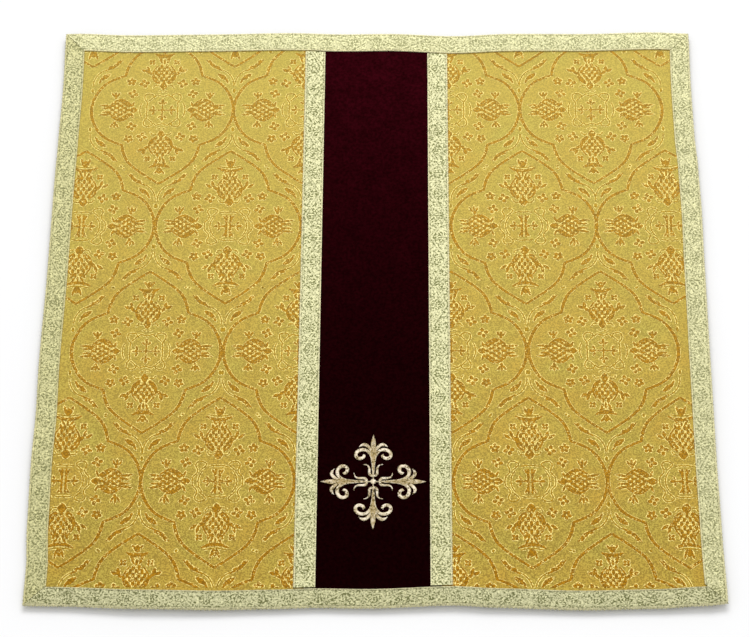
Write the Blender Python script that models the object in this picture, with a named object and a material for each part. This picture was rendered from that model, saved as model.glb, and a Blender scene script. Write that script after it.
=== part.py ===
"""A chalice veil: a square cloth of two brocade panels and a velvet stripe, lying flat.

Woven galloon covers the two seams and runs round the edge with mitred corners, and an embroidered cross
with flower ends stands low on the velvet. Metres, +Z up, +Y towards the top edge. The origin is on the
underside, in the middle of the veil.
"""

from math import cos, pi, sin, sqrt

import bmesh
import bpy
from mathutils import Matrix, Vector

# Driving dimensions
SIDE = 0.520
CLOTH = 0.0014
BRAID = 0.0008
RELIEF = 0.0010
GAP = 0.0003
GALLOON_WIDTH = 0.0165
HEM_INSET = 0.0006
CROSS_MIDDLE = (-0.0009, -0.1563)

# Where each seam crosses the bottom edge and the top edge
SEAM_LEFT = {"bottom": -0.0517, "top": -0.0507}
SEAM_RIGHT = {"bottom": 0.0502, "top": 0.0502}

# How far each edge stands out from the true square: place along the edge, sway outwards
EDGE_SWAY = {
    "left": (
        (-0.260, -0.0004), (-0.227, -0.0010), (-0.200, 0.0006), (-0.143, 0.0012), (-0.100, 0.0003),
        (-0.056, 0.0010), (0.035, -0.0002), (0.105, -0.0004), (0.154, -0.0010), (0.204, -0.0017),
        (0.260, -0.0009),
    ),
    "right": (
        (-0.260, 0.0012), (-0.206, 0.0002), (-0.143, -0.0003), (-0.056, -0.0002), (0.035, 0.0003),
        (0.082, 0.0008), (0.130, 0.0001), (0.154, -0.0012), (0.204, -0.0015), (0.260, -0.0006),
    ),
    "top": (
        (-0.260, 0.0008), (-0.248, 0.0013), (-0.206, 0.0000), (-0.144, 0.0006), (-0.072, 0.0013),
        (-0.030, 0.0003), (0.010, 0.0009), (0.065, -0.0017), (0.110, 0.0001), (0.169, 0.0001),
        (0.231, 0.0020), (0.260, 0.0006),
    ),
    "bottom": (
        (-0.260, -0.0015), (-0.235, -0.0010), (-0.175, 0.0014), (-0.120, 0.0021), (-0.080, 0.0012),
        (-0.045, 0.0000), (-0.005, 0.0006), (0.060, -0.0017), (0.090, 0.0001), (0.155, 0.0019),
        (0.205, 0.0008), (0.245, -0.0012), (0.260, -0.0030),
    ),
}

# One arm of the cross, upright above its middle: to the right, up, half width
STEM = (
    (0.0, 0.0050, 0.0004), (0.0, 0.0100, 0.0009), (0.0, 0.0150, 0.0013), (0.0, 0.0200, 0.0020),
    (0.0, 0.0235, 0.0029), (0.0, 0.0268, 0.0026), (0.0, 0.0295, 0.0012),
)
CENTRE_LEAF = (
    (0.0, 0.0255, 0.0006), (0.0, 0.0295, 0.0017), (0.0, 0.0330, 0.0020), (0.0, 0.0368, 0.0012),
    (0.0, 0.0403, 0.0002),
)
SIDE_LEAF = (
    (0.0008, 0.0255, 0.0009), (0.0026, 0.0286, 0.0012), (0.0049, 0.0312, 0.0014),
    (0.0072, 0.0322, 0.0013), (0.0093, 0.0316, 0.0008), (0.0109, 0.0302, 0.0002),
)
SCROLL = (
    (0.0012, 0.0210, 0.0010), (0.0029, 0.0246, 0.0012), (0.0052, 0.0270, 0.0013),
    (0.0083, 0.0277, 0.0014), (0.0114, 0.0268, 0.0015), (0.0133, 0.0246, 0.0014),
    (0.0134, 0.0220, 0.0014), (0.0118, 0.0204, 0.0014), (0.0095, 0.0202, 0.0014),
    (0.0076, 0.0213, 0.0013), (0.0069, 0.0230, 0.0011),
)
WHISKER = (
    (-0.0006, 0.0048, 0.0008), (0.0014, 0.0052, 0.0010), (0.0028, 0.0066, 0.0011),
    (0.0030, 0.0090, 0.0010), (0.0030, 0.0114, 0.0008), (0.0039, 0.0134, 0.0006),
    (0.0055, 0.0145, 0.0004), (0.0073, 0.0148, 0.0002),
)
BEAD_RADIUS = 0.0023
LINK_HALF_WIDTH = 0.0004
LINK_END = 0.0050

# The way out from the middle at each edge, along Y at the level edges and along X at the others
OUTWARD = {"top": 1, "bottom": -1, "left": -1, "right": 1}
LEVEL_EDGES = ("bottom", "top")

HALF = SIDE / 2
UPPER_BASE = CLOTH + GAP
MITRE_STEP = GAP * sqrt(2) / 2
STEPS_PER_EDGE = 44
RIBBON_STEPS_PER_SPAN = 2
BEAD_SIDES = 16
RIM_SOFTNESS = 0.00025

# Colour, roughness and metallic value of each material
FINISHES = {
    "brocade": ((0.60, 0.42, 0.09), 0.55, 0.20),
    "velvet": ((0.030, 0.001, 0.004), 0.90, 0.00),
    "galloon": ((0.72, 0.70, 0.42), 0.45, 0.35),
    "embroidery": ((0.75, 0.60, 0.36), 0.50, 0.10),
}


def remove_old_objects():
    """Empty the scene before the veil is made."""
    for old in list(bpy.data.objects):
        bpy.data.objects.remove(old, do_unlink=True)


def make_material(name, finish):
    """A Principled material with the finish's colour, roughness and metallic value."""
    colour, roughness, metallic = FINISHES[finish]
    material = bpy.data.materials.new(name)
    material.use_nodes = True
    shader = material.node_tree.nodes["Principled BSDF"]
    shader.inputs["Base Color"].default_value = (*colour, 1.0)
    shader.inputs["Roughness"].default_value = roughness
    shader.inputs["Metallic"].default_value = metallic
    return material


def make_object(name, bm, finish, base, parent):
    """Turn a bmesh into a named object that stands on the height of its base."""
    bmesh.ops.recalc_face_normals(bm, faces=bm.faces)
    mesh = bpy.data.meshes.new(name)
    bm.to_mesh(mesh)
    bm.free()
    mesh.materials.append(make_material(name + "_finish", finish))
    part = bpy.data.objects.new(name, mesh)
    bpy.context.scene.collection.objects.link(part)
    part.parent = parent
    part.location = base
    return part


def between(start, end, share):
    """The value a share of the way from start to end."""
    return start + (end - start) * share


def sway(edge, place):
    """How far an edge stands out from the true square at a place along it."""
    rows = EDGE_SWAY[edge]
    for (start, low), (end, high) in zip(rows, rows[1:]):
        if place <= end:
            share = max(0.0, (place - start) / (end - start))
            ease = share * share * (3 - 2 * share)
            return between(low, high, ease)
    return rows[-1][1]


def edge_point(edge, place, inset):
    """The point of an edge at a place along it, drawn in by an inset."""
    out = OUTWARD[edge] * (HALF + sway(edge, place) - inset)
    if edge in LEVEL_EDGES:
        return Vector((place, out))
    return Vector((out, place))


def corner(side_x, side_y, inset):
    """A corner of the veil, drawn in by an inset on both edges."""
    upright_edge = "right" if side_x > 0 else "left"
    level_edge = "top" if side_y > 0 else "bottom"
    return Vector((
        edge_point(upright_edge, side_y * HALF, inset).x,
        edge_point(level_edge, side_x * HALF, inset).y,
    ))


def slab(outline, thickness, softness=0.0):
    """A closed plate with an outline, standing on zero, its upper rim softened by a small bevel."""
    bm = bmesh.new()
    base = bm.faces.new([bm.verts.new((point.x, point.y, 0.0)) for point in outline])
    raised = bmesh.ops.extrude_face_region(bm, geom=[base], use_keep_orig=True)["geom"]
    upper = [item for item in raised if isinstance(item, bmesh.types.BMVert)]
    bmesh.ops.translate(bm, verts=upper, vec=(0.0, 0.0, thickness))
    if softness:
        upper_points = set(upper)
        rim = [edge for edge in bm.edges if upper_points.issuperset(edge.verts)]
        bmesh.ops.bevel(
            bm, geom=rim, offset=softness, segments=1, affect="EDGES", profile=0.5, material=-1,
        )
    return bm


def seam_at(seam, height):
    """A seam's place along X at a height along Y."""
    return between(seam["bottom"], seam["top"], (height + HALF) / SIDE)


def panel_outline(left_edge, right_edge):
    """A panel's outline between two upright lines, each a function of the height along Y."""
    heights = [between(-HALF, HALF, step / STEPS_PER_EDGE) for step in range(1, STEPS_PER_EDGE)]
    outline = []
    for edge, share_from, share_to in (("bottom", 0, 1), ("top", 1, 0)):
        end_height = -HALF if edge == "bottom" else HALF
        low = left_edge(end_height)
        high = right_edge(end_height)
        steps = max(2, round((high - low) / SIDE * STEPS_PER_EDGE))
        for step in range(steps + 1):
            share = between(share_from, share_to, step / steps)
            outline.append(edge_point(edge, between(low, high, share), HEM_INSET))
        if edge == "bottom":
            outline += [Vector((right_edge(height), height)) for height in heights]
    outline += [Vector((left_edge(height), height)) for height in reversed(heights)]
    return outline


def make_panels(parent):
    """The two brocade panels and the velvet stripe between them, side by side on the flat."""
    def outer_left(height):
        return edge_point("left", height, HEM_INSET).x

    def outer_right(height):
        return edge_point("right", height, HEM_INSET).x

    def seam_side(seam, shift):
        return lambda height: seam_at(seam, height) + shift

    seam_gap = GAP / 2
    panels = (
        ("brocade_panel_left", "brocade", outer_left, seam_side(SEAM_LEFT, -seam_gap)),
        ("velvet_stripe", "velvet", seam_side(SEAM_LEFT, seam_gap), seam_side(SEAM_RIGHT, -seam_gap)),
        ("brocade_panel_right", "brocade", seam_side(SEAM_RIGHT, seam_gap), outer_right),
    )
    for name, finish, left_edge, right_edge in panels:
        bm = slab(panel_outline(left_edge, right_edge), CLOTH, RIM_SOFTNESS)
        make_object(name, bm, finish, (0.0, 0.0, 0.0), parent)


def border_point(edge, share, inset):
    """A point a share of the way along one side of the border, from one mitre to the other."""
    out = OUTWARD[edge]
    if edge in LEVEL_EDGES:
        axis = 0
        ends = (corner(-1, out, inset), corner(1, out, inset))
    else:
        axis = 1
        ends = (corner(out, -1, inset), corner(out, 1, inset))
    point = edge_point(edge, between(-HALF, HALF, share), inset)
    point[axis] = between(ends[0][axis] + MITRE_STEP, ends[1][axis] - MITRE_STEP, share)
    return point


def make_border(parent):
    """The four sides of the border galloon, flush with the veil's edges."""
    shares = [step / STEPS_PER_EDGE for step in range(STEPS_PER_EDGE + 1)]
    for edge in OUTWARD:
        outer = [border_point(edge, share, 0.0) for share in shares]
        inner = [border_point(edge, share, GALLOON_WIDTH) for share in shares]
        bm = slab(outer + inner[::-1], BRAID, RIM_SOFTNESS)
        make_object("galloon_border_" + edge, bm, "galloon", (0.0, 0.0, UPPER_BASE), parent)


def make_columns(parent):
    """The galloon over each seam, from the border's inner edge below to the one above."""
    reach = GALLOON_WIDTH + GAP
    for name, seam in (("left", SEAM_LEFT), ("right", SEAM_RIGHT)):
        outline = []
        for edge in LEVEL_EDGES:
            out = OUTWARD[edge]
            middle = seam_at(seam, out * (HALF - reach))
            ends = [middle - GALLOON_WIDTH / 2, middle, middle + GALLOON_WIDTH / 2]
            outline += [edge_point(edge, place, reach) for place in ends[::-out]]
        bm = slab(outline, BRAID, RIM_SOFTNESS)
        make_object("galloon_column_" + name, bm, "galloon", (0.0, 0.0, UPPER_BASE), parent)


def smooth_chart(chart):
    """The chart's rows with points between them, read from a smooth curve through the rows."""
    rows = [Vector(row) for row in chart]
    rows = [rows[0] * 2 - rows[1]] + rows + [rows[-1] * 2 - rows[-2]]
    points = []
    for before, start, end, after in zip(rows, rows[1:], rows[2:], rows[3:]):
        for step in range(RIBBON_STEPS_PER_SPAN):
            t = step / RIBBON_STEPS_PER_SPAN
            points.append(0.5 * (
                2 * start + (end - before) * t
                + (2 * before - 5 * start + 4 * end - after) * t ** 2
                + (3 * start - before - 3 * end + after) * t ** 3
            ))
    return points + [rows[-2]]


def ribbon_outline(chart, mirrored=False):
    """A ribbon's outline, its half width set off on both sides of its line."""
    points = smooth_chart(chart)
    left = []
    right = []
    for index, point in enumerate(points):
        ahead = points[min(index + 1, len(points) - 1)]
        behind = points[max(index - 1, 0)]
        along = (ahead - behind).xy.normalized()
        across = Vector((-along.y, along.x)) * point.z
        left.append(point.xy + across)
        right.append(point.xy - across)
    outline = left + right[::-1]
    if mirrored:
        outline = [Vector((-point.x, point.y)) for point in outline]
    return outline


def make_cross(parent):
    """The embroidered cross: four like arms about a bead, sewn as one raised motif."""
    link = ((0.0, 0.0, LINK_HALF_WIDTH), (0.0, LINK_END, LINK_HALF_WIDTH))
    arm = [ribbon_outline(link), ribbon_outline(STEM), ribbon_outline(CENTRE_LEAF)]
    for chart in (SIDE_LEAF, SCROLL, WHISKER):
        arm.append(ribbon_outline(chart))
        arm.append(ribbon_outline(chart, mirrored=True))
    whole = bmesh.new()
    for quarter in range(4):
        turn = Matrix.Rotation(quarter * pi / 2, 4, "Z")
        for outline in arm:
            piece = slab(outline, RELIEF)
            bmesh.ops.transform(piece, matrix=turn, verts=piece.verts)
            bmesh.ops.recalc_face_normals(piece, faces=piece.faces)
            scratch = bpy.data.meshes.new("cross_piece")
            piece.to_mesh(scratch)
            piece.free()
            whole.from_mesh(scratch)
            bpy.data.meshes.remove(scratch)
    base = (*CROSS_MIDDLE, UPPER_BASE)
    cross = make_object("embroidered_cross", whole, "embroidery", base, parent)

    angles = [step * 2 * pi / BEAD_SIDES for step in range(BEAD_SIDES)]
    bead_outline = [Vector((BEAD_RADIUS * cos(angle), BEAD_RADIUS * sin(angle))) for angle in angles]
    bead = make_object("cross_bead_guide", slab(bead_outline, RELIEF), "embroidery", base, parent)
    bead.hide_render = True
    bead.display_type = "WIRE"
    union = cross.modifiers.new("sew together", "BOOLEAN")
    union.operation = "UNION"
    union.solver = "EXACT"
    union.use_self = True
    union.object = bead


def make_veil():
    """The whole veil, its pieces parented to one empty at the origin."""
    remove_old_objects()
    veil = bpy.data.objects.new("veil", None)
    bpy.context.scene.collection.objects.link(veil)
    make_panels(veil)
    make_columns(veil)
    make_border(veil)
    make_cross(veil)


make_veil()
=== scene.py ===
"""The finish of a chalice veil: figured brocade, velvet pile, woven galloon and a satin-stitch cross.

Every piece lies where its solid lies. Metres, +Z up, +Y towards the top edge. The charts of the woven
figure, the braid and the cross are drawn in millimetres and scaled by MM.
"""

from collections import namedtuple
from math import ceil, cos, pi, radians, sin

import bmesh
import bpy
import numpy as np
from mathutils import Matrix, Vector


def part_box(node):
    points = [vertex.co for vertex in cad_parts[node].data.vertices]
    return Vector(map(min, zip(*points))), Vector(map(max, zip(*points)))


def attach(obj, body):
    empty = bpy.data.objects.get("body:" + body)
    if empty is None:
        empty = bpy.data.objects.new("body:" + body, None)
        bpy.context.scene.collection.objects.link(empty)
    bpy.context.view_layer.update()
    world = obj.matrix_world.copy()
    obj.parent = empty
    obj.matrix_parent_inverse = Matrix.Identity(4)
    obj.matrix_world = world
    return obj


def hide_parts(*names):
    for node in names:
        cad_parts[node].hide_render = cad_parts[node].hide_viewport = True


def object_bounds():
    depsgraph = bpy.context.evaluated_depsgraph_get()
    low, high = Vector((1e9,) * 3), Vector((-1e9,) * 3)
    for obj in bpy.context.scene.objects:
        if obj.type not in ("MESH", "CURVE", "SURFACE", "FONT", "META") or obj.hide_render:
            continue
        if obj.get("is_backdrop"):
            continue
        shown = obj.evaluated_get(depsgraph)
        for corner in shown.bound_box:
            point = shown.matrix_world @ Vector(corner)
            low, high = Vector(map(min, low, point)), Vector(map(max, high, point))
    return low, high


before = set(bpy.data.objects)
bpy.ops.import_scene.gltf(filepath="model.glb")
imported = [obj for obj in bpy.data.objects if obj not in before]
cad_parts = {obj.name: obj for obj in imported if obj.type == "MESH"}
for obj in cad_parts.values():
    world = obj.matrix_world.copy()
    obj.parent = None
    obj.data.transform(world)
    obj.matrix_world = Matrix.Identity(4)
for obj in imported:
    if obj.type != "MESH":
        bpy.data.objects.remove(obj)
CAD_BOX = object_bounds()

bl_info = {
    "name": "Chalice veil",
    "version": (1, 0, 0),
    "blender": (4, 5, 0),
    "location": "View3D > Sidebar > Veil",
    "description": "Weaves, trims and embroiders a flat chalice veil over its solids",
    "category": "Object",
}

MM = 0.001

# Read from the solids
CLOTH_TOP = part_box("velvet_stripe")[1].z
BRAID_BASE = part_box("galloon_border_top")[0].z
CROSS_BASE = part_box("embroidered_cross")[0].z
CROSS_MIDDLE = sum(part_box("embroidered_cross"), Vector()) / 2
HALF_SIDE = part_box("galloon_border_right")[1].x
GALLOON_WIDTH = 0.0165

# Rows of the charts
Petal = namedtuple("Petal", "x y length width turn")
Line = namedtuple("Line", "points")
Ridge = namedtuple("Ridge", "x y turn length width height")
Band = namedtuple("Band", "place height")
Ring = namedtuple("Ring", "out angles length width")

# Soft ridges in which the whole veil lies, metres and degrees
RIDGES = (
    Ridge(-0.262, 0.112, 0, 0.050, 0.022, 0.0009),
    Ridge(-0.258, -0.120, 12, 0.060, 0.026, 0.0011),
    Ridge(-0.160, -0.262, 84, 0.055, 0.030, 0.0010),
    Ridge(-0.075, 0.262, 90, 0.045, 0.034, 0.0009),
    Ridge(0.062, -0.264, 96, 0.050, 0.030, 0.0008),
    Ridge(0.120, 0.262, 82, 0.060, 0.026, 0.0009),
    Ridge(0.262, 0.160, -8, 0.045, 0.030, 0.0010),
    Ridge(0.262, -0.060, 6, 0.060, 0.028, 0.0008),
    Ridge(0.258, -0.255, -45, 0.040, 0.030, 0.0012),
    Ridge(-0.262, 0.262, 45, 0.040, 0.024, 0.0008),
    Ridge(-0.150, 0.020, 78, 0.120, 0.030, 0.0005),
    Ridge(-0.205, -0.185, 20, 0.060, 0.022, 0.0006),
    Ridge(0.165, 0.085, 104, 0.110, 0.032, 0.0005),
    Ridge(0.120, -0.150, 30, 0.080, 0.026, 0.0005),
)

# The outer edges stand a little off the surface that the veil lies on
EDGE_LIFT = 0.0023
EDGE_REACH = 0.012
BOTTOM_EDGE_SHARE = 0.75

# Woven figure: where each row of medallions lies, metres
FigureRow = namedtuple("FigureRow", "height places chart")
FIGURE_ROWS = {
    "left": (
        FigureRow(0.1864, (-0.1760, -0.0590), "cross"),
        FigureRow(0.0736, (-0.2360, -0.1182), "bar"),
        FigureRow(-0.0414, (-0.1786, -0.0600), "cross"),
        FigureRow(-0.1549, (-0.2358, -0.1191), "bar"),
        FigureRow(-0.2712, (-0.1771, -0.0590), "cross"),
        FigureRow(0.3018, (-0.2355, -0.1175), "bar"),
    ),
    "right": (
        FigureRow(0.1862, (0.0590, 0.1760), "cross"),
        FigureRow(0.0734, (0.1185, 0.2345), "bar"),
        FigureRow(-0.0412, (0.0596, 0.1778), "cross"),
        FigureRow(-0.1552, (0.1182, 0.2352), "bar"),
        FigureRow(-0.2712, (0.0600, 0.1780), "cross"),
        FigureRow(0.3018, (0.1180, 0.2350), "bar"),
    ),
}

# One quarter of a medallion, right of its middle and above it, millimetres.
# A line's points are to the right, up, half width.
OGEE = Line((
    (0.0, 72.2, 0.9), (8.0, 66.6, 0.9), (16.8, 60.0, 0.95), (22.6, 54.8, 1.0), (26.8, 49.6, 1.1),
    (30.0, 42.0, 1.15), (31.6, 34.6, 1.0),
))
OGEE_SIDE = Line((
    (31.2, 34.6, 0.9), (38.0, 31.8, 1.0), (45.6, 27.6, 1.05), (51.4, 21.4, 1.1), (55.6, 13.4, 1.15),
    (57.8, 6.0, 1.2), (58.3, 0.0, 1.2),
))
SPRIG = Line((
    (34.8, 50.4, 0.25), (37.6, 46.8, 0.6), (41.0, 43.6, 0.9), (45.0, 41.4, 0.7), (49.0, 39.0, 0.35),
))
TENDRIL = Line((
    (47.6, 40.6, 0.2), (52.4, 37.6, 0.3), (55.8, 33.4, 0.3), (57.8, 28.0, 0.3), (57.9, 24.0, 0.2),
))
BAND_LEAVES = (
    Petal(48.8, 33.0, 10.6, 3.8, -38), Petal(52.6, 28.6, 4.4, 1.6, -62), Petal(40.6, 44.6, 6.6, 2.8, -45),
    Petal(38.2, 48.4, 4.4, 1.6, -50), Petal(44.4, 43.2, 4.2, 1.8, -20),
)
BAND_DROPS = (Petal(58.3, 19.2, 4.4, 2.4, 90), Petal(28.8, 57.7, 1.8, 1.8, 0))

# Length and width of a blossom's petals, as shares of the blossom's reach
BLOSSOM_LENGTH = 0.78
BLOSSOM_WIDTH = 0.72

# A pine cone: where its oval starts on half a wave and how much of it it takes, how blunt it is,
# and its staggered scales in millimetres, which lean out by degrees at the root and in at the tip
CONE_START = 0.12
CONE_SPAN = 0.8
CONE_BLUNTNESS = 0.8
CONE_ROWS = 6
SCALE_PITCH = 4.4
SCALE_LENGTH = 4.8
SCALE_WIDTH = 2.8
SCALE_LEAN = 4.0
SCALE_TURN = 1.6


def blossom(x, y, reach, turn=0, count=4):
    """Equal petals in a ring about a middle, as far out as their reach."""
    length = reach * BLOSSOM_LENGTH
    width = reach * BLOSSOM_WIDTH
    petals = []
    for index in range(count):
        angle = turn + index * 360 / count
        out = reach - length / 2
        petals.append(
            Petal(x + out * cos(radians(angle)), y + out * sin(radians(angle)), length, width, angle)
        )
    return tuple(petals)


def cone_scales(root, tip, half_width, turn):
    """Staggered rows of scales that fill an oval from its root to its tip, along X or turned to Y."""
    petals = []
    for row in range(CONE_ROWS):
        way = (row + 0.5) / CONE_ROWS
        reach = half_width * sin(pi * (CONE_START + CONE_SPAN * way)) ** CONE_BLUNTNESS
        across = SCALE_PITCH / 2 * (row % 2)
        while across <= reach:
            lean = SCALE_LEAN * across * (1 - SCALE_TURN * way)
            along = root + way * (tip - root)
            x, y, angle = (across, along, 90 - lean) if turn else (along, across, lean)
            petals.append(Petal(x, y, SCALE_LENGTH, SCALE_WIDTH, angle))
            across += SCALE_PITCH
    return tuple(petals)


BLOSSOMS = blossom(24.6, 16.1, 4.3, 14) + blossom(15.7, 26.5, 4.4, -12) + blossom(26.5, 28.4, 3.9, 18, 5)

FIGURE = {
    "cross": {
        "orange": (
            Line(((-10.0, 0.0, 0.3), (0.0, 0.0, 0.45), (10.0, 0.0, 0.3))),
            Line(((0.0, -10.0, 0.3), (0.0, 0.0, 0.45), (0.0, 10.0, 0.3))),
            Petal(8.8, 0.0, 4.6, 2.4, 0), Petal(0.0, 8.8, 4.6, 2.4, 90),
            Petal(7.4, 2.9, 3.9, 1.5, 66), Petal(2.2, 6.8, 3.2, 1.4, 40), Petal(0.0, 0.0, 2.4, 2.4, 0),
            Petal(23.6, 0.0, 6.2, 5.2, 180), Petal(24.4, 5.6, 5.4, 1.5, 108),
            Line(((25.2, 4.0, 0.5), (28.6, 7.8, 0.8), (33.6, 10.4, 0.9), (38.4, 9.0, 0.7), (42.2, 5.8, 0.4))),
            Petal(47.0, 4.5, 9.6, 1.7, 2), Petal(47.0, 1.8, 5.0, 1.3, 8),
            Petal(38.6, 12.6, 3.4, 2.4, 90), Petal(38.8, 15.4, 4.8, 1.9, 92),
            Petal(36.6, 15.2, 4.6, 1.6, 120), Petal(41.0, 15.2, 4.6, 1.6, 60),
            Petal(0.0, 23.8, 7.2, 5.6, 270), Petal(0.0, 48.6, 5.4, 1.7, 90), Petal(3.0, 49.4, 5.4, 1.5, 66),
            Line(((3.8, 26.0, 0.4), (7.8, 29.6, 0.7), (9.4, 34.6, 0.75), (8.4, 39.8, 0.6), (5.2, 44.6, 0.4))),
            Petal(12.0, 37.4, 5.4, 2.4, 44), Petal(13.4, 41.0, 5.8, 2.7, 78), Petal(16.4, 39.4, 5.2, 2.5, 28),
            Line((
                (-8.2, 56.4, 0.5), (-4.4, 54.7, 1.3), (0.0, 54.2, 1.7), (4.4, 54.7, 1.3), (8.2, 56.4, 0.5),
            )),
            Petal(0.0, 59.6, 6.0, 4.8, 90), Petal(2.9, 61.0, 4.2, 1.6, 52), Petal(3.4, 51.8, 4.0, 1.3, 30),
        ) + blossom(10.2, 48.0, 2.9, 45) + BLOSSOMS,
        "cones": cone_scales(26.6, 45.6, 8.9, 0) + cone_scales(26.6, 45.4, 8.9, 90),
        "olive": (
            Line((
                (12.6, 0.0, 0.35), (12.8, 4.4, 0.35), (12.4, 7.2, 0.35), (14.0, 9.6, 0.35),
                (15.0, 12.6, 0.35), (14.2, 15.4, 0.35), (11.4, 16.2, 0.35), (8.4, 15.6, 0.35),
                (7.4, 13.8, 0.35), (9.2, 11.2, 0.3), (12.0, 8.6, 0.25),
            )),
            Line(((7.0, 12.6, 0.3), (4.6, 15.2, 0.35), (2.2, 14.2, 0.35), (0.0, 13.6, 0.35))),
            Line(((16.8, 7.2, 0.2), (18.2, 3.6, 0.3), (18.5, 0.0, 0.3))),
            Petal(2.4, 18.4, 3.6, 0.9, 16), Petal(5.6, 24.4, 4.8, 1.3, 10), Petal(8.0, 23.0, 2.8, 1.1, -50),
        ),
    },
    "bar": {
        "orange": (
            Line(((1.5, 10.4, 0.6), (1.7, 6.0, 1.0), (1.5, 2.4, 0.7), (1.5, 0.0, 0.8))),
            Line(((2.2, 0.0, 0.5), (6.0, 0.0, 0.35), (11.4, 0.0, 0.3))), Petal(3.4, 0.0, 3.2, 2.2, 0),
            Petal(9.0, 0.0, 4.6, 2.6, 0), Petal(7.6, 2.7, 3.4, 1.3, 62), Petal(3.2, 8.2, 4.2, 1.4, 60),
            Petal(24.4, 0.0, 7.2, 5.6, 180), Petal(25.2, 6.2, 5.8, 1.3, 112),
            Line(((26.2, 4.4, 0.5), (30.6, 8.0, 0.9), (35.4, 10.2, 0.9), (40.2, 8.6, 0.7), (44.0, 5.6, 0.4))),
            Petal(47.6, 5.0, 9.6, 1.7, 8), Petal(48.2, 2.0, 5.4, 1.4, 4),
            Petal(39.2, 12.8, 3.4, 2.4, 94), Petal(39.8, 16.2, 5.8, 1.5, 92),
            Petal(37.4, 15.8, 5.4, 1.3, 114), Petal(42.2, 15.6, 5.2, 1.3, 62),
            Petal(0.0, 22.8, 8.0, 7.0, 270),
            Line(((4.2, 25.6, 0.4), (8.2, 29.4, 0.8), (9.8, 34.8, 0.8), (8.8, 40.6, 0.6), (5.4, 46.0, 0.4))),
            Petal(4.8, 46.6, 5.2, 1.7, 66), Petal(0.0, 49.6, 4.8, 1.6, 90), Petal(3.4, 50.0, 5.6, 1.4, 56),
            Petal(11.4, 36.4, 6.4, 2.6, 50), Petal(13.8, 40.4, 6.2, 2.2, 76), Petal(17.0, 38.4, 6.2, 2.1, 36),
            Line((
                (-10.4, 56.0, 0.5), (-6.0, 53.8, 1.1), (0.0, 52.9, 1.3), (6.0, 53.8, 1.1), (10.4, 56.0, 0.5),
            )),
            Petal(0.0, 59.6, 6.2, 6.2, 90), Petal(3.0, 62.4, 4.6, 1.6, 78),
        ) + blossom(12.4, 47.0, 2.9, 45) + BLOSSOMS,
        "cones": cone_scales(28.0, 45.8, 8.9, 0) + cone_scales(26.8, 47.6, 9.2, 90),
        "olive": (
            Line((
                (19.2, 0.0, 0.3), (18.8, 3.8, 0.3), (16.2, 6.6, 0.3), (15.4, 10.0, 0.35), (17.0, 13.4, 0.35),
                (15.4, 16.6, 0.35), (11.8, 16.8, 0.35), (8.6, 14.8, 0.35), (10.4, 12.0, 0.3),
                (13.2, 9.6, 0.25),
            )),
            Line(((6.8, 12.6, 0.35), (3.6, 13.4, 0.35), (0.0, 13.2, 0.35))),
            Line(((14.8, 0.0, 0.3), (14.0, 4.6, 0.3), (11.6, 8.8, 0.25))),
            Line(((-8.6, 57.2, 0.25), (0.0, 56.0, 0.4), (8.6, 57.2, 0.25))),
            Petal(5.8, 22.6, 4.8, 1.3, 8), Petal(8.2, 24.6, 2.8, 1.1, 60),
        ),
    },
}
for chart in FIGURE.values():
    chart["orange"] += (OGEE, OGEE_SIDE, SPRIG) + BAND_LEAVES
    chart["olive"] += (TENDRIL,) + BAND_DROPS

# Threads of the figure and of the galloon, in the order of each piece's materials
FLOAT_THREAD, LINE_THREAD, EDGE_THREAD = range(3)
BODY_THREAD, FAN_THREAD, CORD_THREAD, BED_THREAD = range(4)
CORE_THREADS = {"orange": FLOAT_THREAD, "cones": FLOAT_THREAD, "olive": LINE_THREAD}

# Share of metal thread in the brocade and the galloon
METAL_SHARE = 0.28

# Relief of the figure over the ground weave
FIGURE_SINK = 0.00006
FIGURE_RIM = 0.00062
RIM_HEIGHT = 0.00007
CORE_HEIGHT = 0.00015
FIGURE_UNDERLAP = 0.0030
LINE_RIM_SHARE = {"orange": 0.5, "cones": 1.0, "olive": 0.8}
LINE_FULLNESS = {"orange": 0.2, "cones": 0.0, "olive": 0.22}
LINE_STEP = 2.6
LONG_PETAL = 4.9
PETAL_FULLNESS = {"orange": 0.34, "cones": 0.24, "olive": 0.15}

# Each flat shape starts a little higher than the last, so that no two share a face
STACK_COUNT = 53
STACK_STEP = 0.001

# The braid across its width: place from the outer edge, height over its underside, millimetres
BRAID_SECTION = (
    Band(0.0, 0.40), Band(0.25, 0.80), Band(0.75, 0.98), Band(1.25, 0.82), Band(1.65, 0.62),
    Band(2.1, 0.76), Band(4.2, 0.82), Band(6.3, 0.80), Band(8.25, 0.82), Band(10.2, 0.80),
    Band(12.3, 0.82), Band(14.4, 0.76), Band(14.85, 0.62), Band(15.25, 0.82), Band(15.75, 0.98),
    Band(16.25, 0.80), Band(16.5, 0.40),
)
SELVEDGE = 1.3
GROOVE = 2.1
TWIST_PITCH = 1.7
TWIST_DEPTH = 0.16
SCALLOP = 0.16
RIM_REACH = 0.2
BRAID_STEP = 0.85
ZIGZAG_PERIOD = 41.3
ZIGZAG_MARGIN = 2.3
ZIGZAG_SPREAD = 1.5
ZIGZAG_HALF_WIDTH = 0.3
ZIGZAG_BED = 2.6
FAN_RINGS = (
    Ring(2.2, (0, 36, 72, 108, 144, 180), 2.4, 1.0), Ring(4.9, (26, 52, 78, 102, 128, 154), 2.8, 1.2),
    Ring(7.6, (62, 80, 100, 118), 2.4, 1.1),
)
FAN_FOOT = 2.5
FAN_BED = (Petal(0.0, 3.9, 10.6, 11.0, 90), Petal(0.0, 8.0, 5.4, 6.4, 90))
BRAID_SINK = 0.1
BRAID_RELIEF = 0.12
BED_RELIEF = 0.05
RIB_RELIEF = 0.025

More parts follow.
